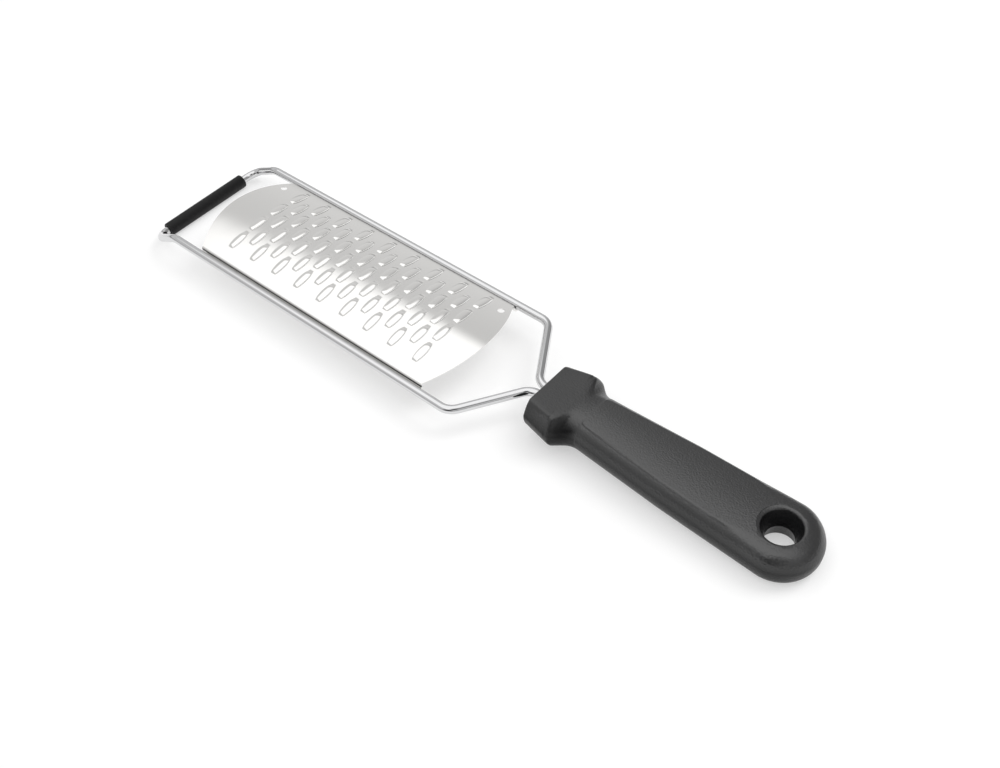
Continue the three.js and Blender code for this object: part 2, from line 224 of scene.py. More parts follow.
def extruded_rubber():
    material, tree, shader = new_material(
        "rubber_extruded_matte", {"IOR": 1.52, "Specular IOR Level": 0.3}
    )
    place = add_node(tree, "TexCoord").outputs["Object"]
    bloom = add_node(tree, "TexNoise", {"Vector": place, "Scale": 1 / BLOOM_SIZE, "Detail": 4})
    dust = add_node(
        tree, "MixRGB", {"Fac": bloom, "Color1": linear("#0c0c0d"), "Color2": linear("#121213")}
    )
    gloss = add_node(tree, "MapRange", {"Value": bloom, "To Min": 0.45, "To Max": 0.6})
    grain = add_node(tree, "TexNoise", {"Vector": place, "Scale": 1 / SKIN_GRAIN_SIZE, "Detail": 2})
    relief = add_node(tree, "Bump", {"Height": grain, "Strength": 0.15, "Distance": SKIN_GRAIN_DEPTH})
    set_inputs(tree, shader, {"Base Color": dust, "Roughness": gloss, "Normal": relief})
    return material


sleeve_rubber = extruded_rubber()
print("material:", sleeve_rubber.name)

# %% [markdown]
# ## Moulded polypropylene
# The handle is black polypropylene, moulded in a tool whose walls were spark-eroded to a fine
# grain. A noise stands for the grain and drives bump and roughness, so the black looks dark grey
# with a satin sheen. The sides, the collar and the two pockets behind the collar are given painted
# shade: three measures of the place scale the reflections down there, the height, the way along
# the handle, and the distance from a pocket.

# %% How strongly each place of the handle reflects
# Painted shade: the reflections fall to these shares on the sides, the collar and in the pockets.
SIDE_HEIGHTS = (14.5 * MM, 20 * MM)
SIDE_SHINE = 0.2
COLLAR_PLACES = (63 * MM, 76 * MM)
COLLAR_SHINE = 0.78
POCKET_PLACE = Vector((68.5, 13.5, 15.5)) * MM
POCKET_REACH = (2.5 * MM, 7 * MM)
POCKET_SHINE = 0.4


def painted_shade_on_reflection(tree, place):
    """The node that paints shade into the reflections: 1 on top of the grip, less on its sides, the
    collar and the pockets.
    """
    height = add_node(
        tree, "VectorMath", operation="DOT_PRODUCT", inputs={0: place, 1: (math.sin(HANDLE_TILT), 0, 1)}
    )
    along = add_node(tree, "SeparateXYZ", {"Vector": place})
    mirrored = add_node(tree, "VectorMath", operation="ABSOLUTE", inputs={0: place})
    to_pocket = add_node(tree, "VectorMath", operation="DISTANCE", inputs={0: mirrored, 1: POCKET_PLACE})
    shine = 1
    for measure, (start, end), least, blend in (
        (height.outputs["Value"], SIDE_HEIGHTS, SIDE_SHINE, "LINEAR"),
        (along.outputs["X"], COLLAR_PLACES, COLLAR_SHINE, "LINEAR"),
        (to_pocket.outputs["Value"], POCKET_REACH, POCKET_SHINE, "SMOOTHSTEP"),
    ):
        share = add_node(
            tree, "MapRange", interpolation_type=blend,
            inputs={"Value": measure, "From Min": start, "From Max": end, "To Min": least},
        )
        shine = add_node(tree, "Math", operation="MULTIPLY", inputs={0: shine, 1: share})
    return shine


print("pockets at x", round(POCKET_PLACE.x / MM, 2), "mm, on both sides")

# %% Material: moulded polypropylene
# Spark-eroded grain is some 0.1 mm wide; it is drawn as 0.7 mm, so that it shows at a distance.
GRAIN_SIZE = 0.7 * MM
GRAIN_DEPTH = 0.16 * MM
DRIFT_SIZE = 9 * MM


def moulded_polypropylene():
    material, tree, shader = new_material("polypropylene_moulded_grain", {"IOR": 1.58})
    place = add_node(tree, "TexCoord").outputs["Object"]
    grain = add_node(tree, "TexNoise", {"Vector": place, "Scale": 1 / GRAIN_SIZE, "Detail": 2})
    drift = add_node(tree, "TexNoise", {"Vector": place, "Scale": 1 / DRIFT_SIZE, "Detail": 2})
    tint = add_node(
        tree, "MixRGB", {"Fac": drift, "Color1": linear("#0d0d0e"), "Color2": linear("#131314")}
    )
    gloss = add_node(tree, "MapRange", {"Value": grain, "To Min": 0.275, "To Max": 0.34})
    relief = add_node(tree, "Bump", {"Height": grain, "Strength": 1, "Distance": GRAIN_DEPTH})
    set_inputs(tree, shader, {
        "Base Color": tint,
        "Roughness": gloss,
        # Reflections scaled down by place: painted shade on the sides, the collar and the pockets.
        "Specular IOR Level": painted_shade_on_reflection(tree, place),
        "Normal": relief,
    })
    return material


handle_plastic = moulded_polypropylene()
print("material:", handle_plastic.name)

# %% [markdown]
# ## From a bmesh to a piece of the grater
# Every piece ends the same way: its mesh becomes an object at the origin, named after its CAD
# node, its faces shade smooth except at true edges, it takes its material, it moves with the one
# body that the grater has, and the plain CAD node is hidden.

# %% Helpers that hand over a finished piece
EDGE_SEGMENTS = 3


def verts_in(geometry):
    """The vertices in what an operator returns."""
    return [element for element in geometry if isinstance(element, bmesh.types.BMVert)]


def edges_in(geometry):
    """The edges in what an operator returns."""
    return [element for element in geometry if isinstance(element, bmesh.types.BMEdge)]


def add_object(name, data):
    """A new object of the scene with this mesh, lamp or camera."""
    thing = bpy.data.objects.new(name, data)
    bpy.context.scene.collection.objects.link(thing)
    return thing


def add_mesh(name, bm):
    """A new mesh object of the scene. The bmesh is used up."""
    mesh = bpy.data.meshes.new(name)
    bm.to_mesh(mesh)
    bm.free()
    return add_object(name, mesh)


def round_edges(bm, edges, size):
    bmesh.ops.bevel(
        bm, geom=edges, offset=size, offset_type="OFFSET", segments=EDGE_SEGMENTS, profile=0.5,
        affect="EDGES", material=-1,
    )


def hand_over(bm, node, material, edge_angle):
    """Makes a bmesh the piece for a CAD node. Edges above the angle, in degrees, stay sharp."""
    piece = add_mesh(node + "_dressed", bm)
    mesh = piece.data
    mesh.shade_smooth()
    mesh.set_sharp_from_angle(angle=math.radians(edge_angle))
    mesh.materials.append(material)
    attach(piece, "root")
    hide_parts(node)
    triangles = sum(len(face.vertices) - 2 for face in mesh.polygons)
    print(piece.name, "has", triangles, "triangles")


# %% [markdown]
# ## The wire frame
# One length of wire makes the whole frame: two tangs in the handle, two slanted neck legs, two
# rails, and at the far end a crossbar that dips to be the foot. A curve with a round bevel could
# draw it, but a wire bender works in straights and bends, and two operators do just that: extrude
# pushes a ring of edges straight ahead, and spin swings it round the centre of a bend.

# %% Corners of the wire, each with its bend radius
TANG_Y = 2.45 * MM
TANG_DEPTH = 49 * MM
TANG_BEND_RADIUS = 7.5 * MM
NECK_BEND_RADIUS = 8 * MM
DIP_BEND_RADIUS = 12 * MM
CROSSBAR_BEND_RADIUS = 7 * MM


def wire_side(side):
    """Corners from the end of the tang to the end of the crossbar, on the side of that sign."""
    tang_end = handle_place @ Vector((TANG_DEPTH, side * TANG_Y, 0))
    return [
        (tang_end, 0),
        (Vector((tang_x, side * TANG_Y, rail_z)), TANG_BEND_RADIUS),
        (Vector((neck_x, side * rail_y, rail_z)), NECK_BEND_RADIUS),
        (Vector((neck_x - RAIL_LENGTH, side * rail_y, rail_z)), DIP_BEND_RADIUS),
        (Vector((crossbar_x, side * rail_y, crossbar_z)), CROSSBAR_BEND_RADIUS),
    ]


wire_corners = wire_side(1) + wire_side(-1)[::-1]
print("the wire has", len(wire_corners) - 2, "bends")

# %% Push and swing a ring of edges along the corners
WIRE_SIDES = 32
BEND_STEPS = 12


def bent_wire(corners):
    bm = bmesh.new()
    drawn = bm.verts.layers.float_vector.new("drawn")
    heading = (corners[1][0] - corners[0][0]).to_track_quat("Z", "Y").to_matrix().to_4x4()
    start = Matrix.Translation(corners[0][0]) @ heading
    ring = bmesh.ops.create_circle(
        bm, cap_ends=True, radius=WIRE_RADIUS, segments=WIRE_SIDES, matrix=start
    )
    for vert in ring["verts"]:
        around = start.inverted() @ vert.co / WIRE_RADIUS
        vert[drawn] = (around.x, around.y, 0)
    edges = bm.edges[:]
    length = 0

    def mark_length(verts):
        for vert in verts:
            vert[drawn] = (vert[drawn].x, vert[drawn].y, length)

    reached = corners[0][0]
    for before, (corner, radius), after in zip(corners, corners[1:], corners[2:] + [None]):
        back = (before[0] - corner).normalized()
        ahead = (after[0] - corner).normalized() if after else -back
        turn = math.pi - back.angle(ahead)
        setback = radius * math.tan(turn / 2)
        straight = corner + back * setback - reached
        length += straight.length
        pushed = bmesh.ops.extrude_edge_only(bm, edges=edges)["geom"]
        bmesh.ops.translate(bm, verts=verts_in(pushed), vec=straight)
        mark_length(verts_in(pushed))
        edges = edges_in(pushed)
        if not after:
            break
        centre = corner + (back + ahead).normalized() * radius / math.cos(turn / 2)
        for _ in range(BEND_STEPS):
            length += radius * turn / BEND_STEPS
            swung = bmesh.ops.spin(
                bm, geom=edges, cent=centre, axis=ahead.cross(back).normalized(),
                angle=turn / BEND_STEPS, steps=1,
            )["geom_last"]
            mark_length(verts_in(swung))
            edges = edges_in(swung)
        reached = corner + ahead * setback
    bmesh.ops.contextual_create(bm, geom=edges)
    bmesh.ops.recalc_face_normals(bm, faces=bm.faces)
    print("wire length in mm:", round(length / MM))
    return bm


hand_over(bent_wire(wire_corners), "wire_frame", wire_steel, edge_angle=40)

# %% [markdown]
# ## The foot sleeve
# The sleeve is a cut piece of tube that grips the crossbar. Its wall is a rectangle, so spinning
# that rectangle round the crossbar makes the tube in one step, and a small bevel takes the edge off
# the cut ends. The bore is a tight fit on the wire here, as stretched rubber is.

# %% Spin the wall of the sleeve round the crossbar
SLEEVE_BORE_RADIUS = WIRE_RADIUS + 0.05 * MM
SLEEVE_EDGE = 0.35 * MM
SLEEVE_STEPS = 64
RIM_ANGLE = math.radians(45)


def rubber_sleeve():
    bm = bmesh.new()
    outer = (sleeve_high.z - sleeve_low.z) / 2
    wall = [
        bm.verts.new((crossbar_x, y, crossbar_z + radius))
        for radius, y in (
            (SLEEVE_BORE_RADIUS, sleeve_low.y),
            (outer, sleeve_low.y),
            (outer, sleeve_high.y),
            (SLEEVE_BORE_RADIUS, sleeve_high.y),
        )
    ]
    edges = [bm.edges.new((wall[index - 1], wall[index])) for index in range(len(wall))]
    bmesh.ops.spin(
        bm, geom=edges, cent=(crossbar_x, 0, crossbar_z), axis=(0, 1, 0),
        angle=2 * math.pi, steps=SLEEVE_STEPS, use_merge=True,
    )
    bmesh.ops.recalc_face_normals(bm, faces=bm.faces)
    rims = [edge for edge in bm.edges if edge.calc_face_angle(0) > RIM_ANGLE]
    round_edges(bm, rims, SLEEVE_EDGE)
    return bm


hand_over(rubber_sleeve(), "foot_sleeve", sleeve_rubber, edge_angle=60)

# %% [markdown]
# ## The blade, drawn flat
# A press cuts two curved slits for each tooth and lifts the strip between them into a low bridge.
# Cutting every slit with a boolean would leave long thin triangles that spoil the reflections. So
# the flat sheet is one grid whose lines are pushed into place: around each tooth they follow its
# barrel shape, and elsewhere they run straight out to the margins and the curved ends.

# %% Sizes of the sheet and its teeth
SHEET_THICKNESS = 0.5 * MM
BLADE_RISE = 4.5 * MM
BLADE_EDGE_HEIGHT = 1.9 * MM
BLADE_END_BOW = 9.2 * MM
WIRE_CLEARANCE = 0.3 * MM
HEM_RADIUS = 1 * MM
TOOTH_LENGTH = 10.4 * MM
TOOTH_WIDTH = 4 * MM
TOOTH_END_WIDTH = 2.4 * MM
TOOTH_RISE = 0.55 * MM
NEAR_RAMP = 0.6 * MM
FAR_RAMP = 1.3 * MM
RAMP_SOFTNESS = 0.3
TOOTH_EDGE = 0.45 * MM
TOOTH_EDGE_DROP = 0.1 * MM
TOOTH_SLIT = 0.2 * MM
TOOTH_PITCH = 13 * MM
COLUMN_PITCH = 7.57 * MM
COLUMNS = 17
TEETH_PER_LONG_COLUMN = 4
FIELD_SHIFT_X = 1.4 * MM
FIELD_SHIFT_Y = 1.9 * MM

hem_y = rail_y - WIRE_RADIUS - WIRE_CLEARANCE
bend_y = hem_y - HEM_RADIUS
half_length = (blade_high.x - blade_low.x) / 2
hem_end = half_length - BLADE_END_BOW
end_radius = (bend_y ** 2 + BLADE_END_BOW ** 2) / (2 * BLADE_END_BOW)
field_left = FIELD_SHIFT_X - COLUMNS * COLUMN_PITCH / 2
field_right = field_left + COLUMNS * COLUMN_PITCH
field_low = FIELD_SHIFT_Y - TEETH_PER_LONG_COLUMN * TOOTH_PITCH / 2
print("tooth field starts at", round(field_left / MM, 2), round(field_low / MM, 2), "mm from the middle")

# %% Grid lines, counted from the near left corner
END_CELLS = 7
COLUMN_CELLS = 8
NEAR_CELLS = 5
TOOTH_CELLS = 12
FAR_CELLS = 2
field_columns = COLUMNS * COLUMN_CELLS
field_rows = TEETH_PER_LONG_COLUMN * TOOTH_CELLS
grid_columns = field_columns + 2 * END_CELLS
grid_rows = NEAR_CELLS + field_rows + FAR_CELLS


def tooth_row(column, row):
    """Row inside its tooth's cell, or None outside the teeth. Odd columns are half a tooth off."""
    odd = (column // COLUMN_CELLS) % 2
    inside = row - odd * TOOTH_CELLS // 2
    last = field_rows - odd * TOOTH_CELLS
    return inside % TOOTH_CELLS if 0 < inside < last and inside % TOOTH_CELLS else None


print("the sheet's grid is", grid_columns, "by", grid_rows)

# %% Where each point of a tooth lies
STATION_CROWDING = 1.5


def mix(start, end, share):
    return start + (end - start) * share


def soft_lower(first, second, softness):
    """The lower of two heights, with the corner between them rounded off."""
    overlap = max(softness - abs(first - second), 0) / softness
    return min(first, second) - overlap * overlap * softness / 4


def tooth_point(line, row):
    """Offset from the middle of a tooth's cell, and height, of the line and row of that cell."""
    share = (row - TOOTH_CELLS / 2) / (TOOTH_CELLS / 2 - 1)
    along = math.copysign(1 - (1 - abs(share)) ** STATION_CROWDING, share) * TOOTH_LENGTH / 2
    half_width = mix(TOOTH_WIDTH, TOOTH_END_WIDTH, (2 * along / TOOTH_LENGTH) ** 2) / 2
    reach = (half_width + TOOTH_SLIT, half_width, half_width - TOOTH_EDGE, 0)
    from_middle = abs(line - COLUMN_CELLS / 2)
    across = math.copysign(reach[int(COLUMN_CELLS / 2 - 1 - from_middle)], line - COLUMN_CELLS / 2)
    ramp_length = NEAR_RAMP if along < 0 else FAR_RAMP
    lift = soft_lower((TOOTH_LENGTH / 2 - abs(along)) / ramp_length, 1, RAMP_SOFTNESS)
    if from_middle == COLUMN_CELLS / 2 - 1:
        return across, along, 0
    drop = TOOTH_EDGE_DROP if from_middle == COLUMN_CELLS / 2 - 2 else 0
    return across, along, max(0, lift) * (TOOTH_RISE - drop)


print("middle of a tooth rises", round(tooth_point(COLUMN_CELLS // 2, TOOTH_CELLS // 2)[2] / MM, 2), "mm")

# %% Where each grid point lies on the flat sheet
def end_at(y):
    """How far from the blade's middle its curved end lies at that y."""
    return half_length - end_radius + math.sqrt(end_radius ** 2 - y ** 2)


def sheet_point(column, row):
    """Flat place, and height above the sheet, of a grid point."""
    column_in = column - END_CELLS
    row_in = row - NEAR_CELLS
    y = field_low + row_in * TOOTH_PITCH / TOOTH_CELLS
    if row_in < 0:
        y = mix(-bend_y, field_low, row / NEAR_CELLS)
    if row_in > field_rows:
        y = mix(bend_y, -field_low + 2 * FIELD_SHIFT_Y, (grid_rows - row) / FAR_CELLS)
    end_x = end_at(y)
    if column_in <= 0:
        return mix(-end_x, field_left, column / END_CELLS), y, 0
    if column_in >= field_columns:
        return mix(end_x, field_right, (grid_columns - column) / END_CELLS), y, 0
    line = column_in % COLUMN_CELLS
    middle_x = field_left + (column_in // COLUMN_CELLS + 0.5) * COLUMN_PITCH
    if line == 0:
        return middle_x - COLUMN_PITCH / 2, y, 0
    inside = tooth_row(column_in, row_in)
    if inside is None:
        return middle_x + tooth_point(line, 1)[0], y, 0
    across, along, height = tooth_point(line, inside)
    middle_y = y - (inside / TOOTH_CELLS - 0.5) * TOOTH_PITCH
    return middle_x + across, middle_y + along, height


print("first grid point in mm:", [round(value / MM, 2) for value in sheet_point(0, 0)])

# %% Push the grid into place and open the slits
def is_slit(column, row):
    """Whether the grid face beyond this point is one of the two slits of a tooth."""
    column_in = column - END_CELLS
    row_in = row - NEAR_CELLS
    if not 0 <= column_in < field_columns or column_in % COLUMN_CELLS not in (1, COLUMN_CELLS - 2):
        return False
    return tooth_row(column_in, row_in) is not None and tooth_row(column_in, row_in + 1) is not None


def flat_sheet():
    bm = bmesh.new()
    bmesh.ops.create_grid(bm, x_segments=grid_columns, y_segments=grid_rows, size=0.5)
    cells = {}
    for face in bm.faces:
        middle = face.calc_center_median()
        cells[int((middle.x + 0.5) * grid_columns), int((middle.y + 0.5) * grid_rows)] = face
    for vert in bm.verts:
        column = round((vert.co.x + 0.5) * grid_columns)
        row = round((vert.co.y + 0.5) * grid_rows)
        vert.co = sheet_point(column, row)
    slits = [cells.pop(cell) for cell in list(cells) if is_slit(*cell)]
    bmesh.ops.delete(bm, geom=slits, context="FACES")
    print("slit faces opened:", len(slits))
    return bm, cells


blade_bm, sheet_cells = flat_sheet()

# %% [markdown]
# ## Pilot holes, arch and hems
# Two small holes near the far edge held the sheet in the press. Each is a block of grid faces taken
# out, with the rim that is left extruded and drawn in to a circle. Then the flat sheet is bent over
# a large cylinder, and its two long edges are turned down and hooked under the rails with a spin,
# some extrudes and another spin, the way a folding tool does it. An attribute marks a band down
# each turned-down edge where the sheet's material paints shade: nearly black on the near hem, in
# the crevice beside the rail, and lighter on the far hem. Only then does the sheet get its thickness.

# %% Punch the pilot holes
PILOT_RADIUS = 1.6 * MM
PILOT_SETBACK = 1 * MM
PILOT_RAIL_DISTANCE = 10 * MM
PILOT_REACH = 2.3 * MM


def cells_around(distance, cell_size):
    """The cells, counted along one direction, that lie within reach of a place on it."""
    return range(int((distance - PILOT_REACH) / cell_size), int((distance + PILOT_REACH) / cell_size) + 1)


def punch_pilot(bm, end):
    centre = Vector((end * (hem_end - PILOT_SETBACK), rail_y - PILOT_RAIL_DISTANCE, 0))
    end_x = end_at(centre.y)
    field_end = abs(field_right if end > 0 else field_left)
    columns = cells_around(end_x - abs(centre.x), (end_x - field_end) / END_CELLS)
    rows = cells_around(centre.y - field_low, TOOTH_PITCH / TOOTH_CELLS)
    block = [
        sheet_cells[grid_columns - 1 - column if end > 0 else column, NEAR_CELLS + row]
        for column in columns for row in rows
    ]
    inside = set(block)
    rim = {edge for face in block for edge in face.edges if not inside.issuperset(edge.link_faces)}
    bmesh.ops.delete(bm, geom=block, context="FACES")
    drawn_in = bmesh.ops.extrude_edge_only(bm, edges=list(rim))["geom"]
    for vert in verts_in(drawn_in):
        vert.co = centre + (vert.co - centre).normalized() * PILOT_RADIUS
    print("pilot hole drawn in from", len(rim), "edges")


for blade_end in (-1, 1):
    punch_pilot(blade_bm, blade_end)

# %% Bend the sheet over its arch
arch_radius = (hem_y ** 2 + BLADE_RISE ** 2) / (2 * BLADE_RISE)
arch_z = rail_z + BLADE_EDGE_HEIGHT + BLADE_RISE - arch_radius
for vert in blade_bm.verts:
    slope = math.asin(vert.co.y / arch_radius)
    vert.co = (
        blade_x + vert.co.x,
        vert.co.y + vert.co.z * math.sin(slope),
        arch_z + (arch_radius + vert.co.z) * math.cos(slope),
    )
print("top of the arch in mm:", round(max(vert.co.z for vert in blade_bm.verts) / MM, 2))

# %% Turn the hems down and hook them under the rails
HEM_STEPS = 5
# How much painted shade the bend of each hem gets, and how far down the flange it reaches.
NEAR_HEM_SHADE = 1
FAR_HEM_SHADE = 0.4
HEM_SHADE_DEPTH = 0.85 * MM
HEM_SHADE_FADE = 0.08 * MM


def turn_hem(bm, side):
    hem_shade = bm.verts.layers.float["hem_shade"]
    edge_y = max(side * vert.co.y for vert in bm.verts)
    edges = [
        edge for edge in bm.edges
        if edge.is_boundary and all(side * vert.co.y > edge_y - MERGE_DISTANCE for vert in edge.verts)
    ]
    slope = math.asin(bend_y / arch_radius)
    edge_z = arch_z + arch_radius * math.cos(slope)
    bend_centre = (
        0, side * (bend_y - HEM_RADIUS * math.sin(slope)), edge_z - HEM_RADIUS * math.cos(slope),
    )
    bent = bmesh.ops.spin(
        bm, geom=edges, cent=bend_centre, axis=(-side, 0, 0),
        angle=math.pi / 2 - slope, steps=HEM_STEPS,
    )["geom_last"]
    edges = edges_in(bent)
    bend_verts = verts_in(bent)
    bend_z = bend_verts[0].co.z
    # Painted shade on the bend: full on the near hem, weaker on the far hem.
    tone = NEAR_HEM_SHADE if side < 0 else FAR_HEM_SHADE
    for vert in bend_verts:
        vert[hem_shade] = tone
    for depth, value in ((HEM_SHADE_DEPTH, tone), (HEM_SHADE_DEPTH + HEM_SHADE_FADE, 0), (bend_z - rail_z, 0)):
        flange = bmesh.ops.extrude_edge_only(bm, edges=edges)["geom"]
        for vert in verts_in(flange):
            vert.co.z = bend_z - depth
            vert[hem_shade] = value
        edges = edges_in(flange)
    bmesh.ops.spin(
        bm, geom=edges, cent=(0, side * rail_y, rail_z), axis=(side, 0, 0),
        angle=math.pi / 2, steps=HEM_STEPS,
    )


blade_bm.verts.layers.float.new("hem_shade")
for hem_side in (-1, 1):
    turn_hem(blade_bm, hem_side)
bmesh.ops.remove_doubles(blade_bm, verts=blade_bm.verts, dist=MERGE_DISTANCE)
bmesh.ops.recalc_face_normals(blade_bm, faces=blade_bm.faces)
crest = max(blade_bm.faces, key=lambda face: face.calc_center_median().z)
if crest.normal.z < 0:
    bmesh.ops.reverse_faces(blade_bm, faces=blade_bm.faces)
bmesh.ops.solidify(blade_bm, geom=blade_bm.faces[:], thickness=SHEET_THICKNESS)
hand_over(blade_bm, "blade", sheet_steel, edge_angle=35)

# %% [markdown]
# ## The handle's outline and section
# Seen from above, the handle is a flared collar, a waist and a grip that widens to a round end. Cut
# across, the grip has a crowned top, a crease, and a side that curves down to the parting line of
# the mould. At the waist the crease melts away into a shallow pocket on each side, before the tip
# it fades out, and the collar has a flat top and almost flat sides. So the handle is a section that
# changes as it moves: outlines give its width, crease and height, and a formula draws the section.

# %% Outlines with rounded corners
ARC_STEPS = 10


def rounded_line(corners):
    """Points of a line through (x, y, radius) corners, in mm, with each corner rounded."""
    points = [Vector(corners[0][:2])]
    for before, corner, after in zip(corners, corners[1:], corners[2:]):
        here = Vector(corner[:2])
        back = (Vector(before[:2]) - here).normalized()
        ahead = (Vector(after[:2]) - here).normalized()
        turn = math.pi - back.angle(ahead)
        centre = here + (back + ahead).normalized() * corner[2] / math.cos(turn / 2)
        spoke = here + back * corner[2] * math.tan(turn / 2) - centre
        swing = math.copysign(turn, ahead.x * back.y - ahead.y * back.x)
        for step in range(ARC_STEPS + 1):
            points.append(centre + Matrix.Rotation(swing * step / ARC_STEPS, 2) @ spoke)
    return points + [Vector(corners[-1][:2])]


def height_at(points, x):
    """The second coordinate of a line of points at x."""
    for start, end in zip(points, points[1:]):
        if x <= end.x:
            return mix(start.y, end.y, (x - start.x) / (end.x - start.x)) if end.x > start.x else end.y
    return points[-1].y


HOLE_X = 112.8
END_RADIUS = 16.7
TOP_MM = 8.45
half_width_line = rounded_line([
    (-1, 15.6, 0), (15.2, 18.8, 1.6), (22.4, 12.6, 9), (68, 15.35, 180), (HOLE_X, END_RADIUS, 0),
])
crease_line = rounded_line([
    (-1, 11.9, 0), (15, 14.4, 0.8), (18.4, 6.6, 2), (26, 8.6, 8), (68, 11.6, 180), (HOLE_X, 13.1, 0),
])
top_line = rounded_line([(-1, 7.35, 0), (15, 8.65, 20), (27, TOP_MM, 30), (HOLE_X, TOP_MM, 0)])
print("outline points:", len(half_width_line), "crease points:", len(crease_line))

# %% Height of the upper surface
# Each pair says where along the handle, in mm, a change starts and where it is complete.
GRIP_BLEND = (13, 25)
MELT_IN = (14.5, 17.5)
MELT_OUT = (17, 34)
POCKET_IN = (14, 16.5)
POCKET_OUT = (17, 28)
FRONT_BLEND = (0, 12)
TIP_BLEND = (92, 110)
CROWN_DROP = 0.72
CREASE_STEP = 0.6
CREASE_SLOPE = 3
CREASE_SOFTNESS = 0.3
FRONT_SOFTNESS = 3.5
COLLAR_SOFTNESS = 0.8
NECK_SOFTNESS = 2.6
TIP_SOFTNESS = 2
TIP_RISER_DROP = 6
POCKET_DEPTH = 0.3
POCKET_HOLLOW = 1.15
POCKET_FLOOR = 1.5
COLLAR_BULGE = 0.35


def ramp(x, blend):
    """Rises smoothly from 0 where the blend starts to 1 where it is complete."""
    start, end = blend
    share = min(1, max(0, (x - start) / (end - start)))
    return share * share * (3 - 2 * share)


def top_height(x, y):
    """Height of the upper surface above the handle's axis, in mm."""
    half_width = height_at(half_width_line, x)
    crease = height_at(crease_line, x)
    top = height_at(top_line, x)
    grip = ramp(x, GRIP_BLEND)
    melted = ramp(x, MELT_IN) * (1 - ramp(x, MELT_OUT))
    tip = ramp(x, TIP_BLEND)
    crown = top - grip * CROWN_DROP * (y / crease) ** 2
    crease_height = top - grip * CROWN_DROP
    ledge = crease_height - CREASE_STEP * grip * (1 - melted) * (1 - tip)
    inset = half_width - crease
    radius = (inset ** 2 + ledge ** 2) / (2 * inset)
    depth = min(half_width - y, radius)
    arc = math.sqrt(max(0, 2 * radius * depth - depth * depth))
    facet = ledge * (half_width - y) / inset
    pocket = POCKET_DEPTH * ramp(x, POCKET_IN) * (1 - ramp(x, POCKET_OUT))
    hollow = mix(POCKET_FLOOR, ledge, max(0, (half_width - y) / inset) ** POCKET_HOLLOW)
    side = mix(mix(facet, arc, mix(COLLAR_BULGE, 1, grip)), hollow, pocket)
    riser = crease_height - (y - crease) * CREASE_SLOPE - tip * TIP_RISER_DROP
    collar = mix(FRONT_SOFTNESS, COLLAR_SOFTNESS, ramp(x, FRONT_BLEND))
    softness = mix(mix(collar, mix(CREASE_SOFTNESS, TIP_SOFTNESS, tip), grip), NECK_SOFTNESS, melted)
    return soft_lower(crown, max(side, riser), softness)


print("top of the grip, half way along, in mm:", round(top_height(HOLE_X / 2, 0), 2))

# %% The section at any place along the handle
CREASE_WIDTH = 0.5
UNDER_BLEND = (16, 28)
COLLAR_UNDER_ROUNDING = 4.6
GRIP_UNDER_ROUNDING = 3.3
UNDER_MM = 7.25
CROWN_LINES = 10
CREASE_LINES = 3
SIDE_LINES = 14
UNDER_LINES = 7
FLAT_LINES = 2


def half_section(x):
    """Points from the middle of the top, round the side, to the middle of the underside, in mm."""
    half_width = height_at(half_width_line, x)
    crease = height_at(crease_line, x)
    upper = [crease * math.sin(math.pi / 2 * step / CROWN_LINES) for step in range(CROWN_LINES + 1)]
    upper += [crease + CREASE_WIDTH * step / CREASE_LINES for step in range(1, CREASE_LINES + 1)]
    for step in range(1, SIDE_LINES + 1):
        upper.append(mix(crease + CREASE_WIDTH, half_width, math.sin(math.pi / 2 * step / SIDE_LINES)))
    points = [(y, top_height(x, y)) for y in upper]
    rounding = mix(COLLAR_UNDER_ROUNDING, GRIP_UNDER_ROUNDING, ramp(x, UNDER_BLEND))
    for step in range(1, UNDER_LINES + 1):
        angle = math.pi / 2 * step / UNDER_LINES
        points.append((half_width - rounding * (1 - math.cos(angle)), -UNDER_MM * math.sin(angle)))
    for step in range(FLAT_LINES - 1, -1, -1):
        points.append(((half_width - rounding) * step / FLAT_LINES, -UNDER_MM))
    return points


print("points in half a section:", len(half_section(HOLE_X / 2)))

# %% [markdown]
# ## The handle, swept and spun
# The section starts as one ring of edges at the front of the collar. Each extrude copies the ring,
# and the copy is moved to the next station and given the shape that belongs there. Close stations
# round the waist keep its pockets smooth. At the hanging hole the sweep stops, and half the ring is
# spun round the middle of the hole, which makes the round end. The crown of that end is then drawn
# back from the tip, and smoothing passes soften the collar, the pockets and the tip.

# %% Stations of the sweep and points of the ring
COLLAR_STEP = 1
WAIST_STEP = 0.25
GRIP_STEP = 2.6
WAIST_START = 12
WAIST_END = 27


def stations():
    """Places along the handle, in mm, where the section is drawn."""
    places = [0]
    while places[-1] < HOLE_X:
        step = COLLAR_STEP
        if places[-1] >= WAIST_START:
            step = WAIST_STEP if places[-1] < WAIST_END else GRIP_STEP
        places.append(min(HOLE_X, places[-1] + step))
    return places


def ring_point(x, line):
    """A point of the whole ring: lines run down the far side and back up the near side."""
    half = half_section(x)
    last = len(half) - 1
    y, z = half[line] if line <= last else half[2 * last - line]
    return Vector((x, y if line <= last else -y, z)) * MM


print("stations along the handle:", len(stations()))

# %% Softening of the swept shape
TIP_INSET = 1.8
MIDDLE_REACH = 0.1
SOFTENED_FROM = -3
COLLAR_ZONE = (0.5, 25)
COLLAR_PASSES = 5
POCKET_ZONE = (12.5, 25)
POCKET_PASSES = 30
TIP_ZONE = (HOLE_X + 5, HOLE_X + END_RADIUS)
TIP_PASSES = 3


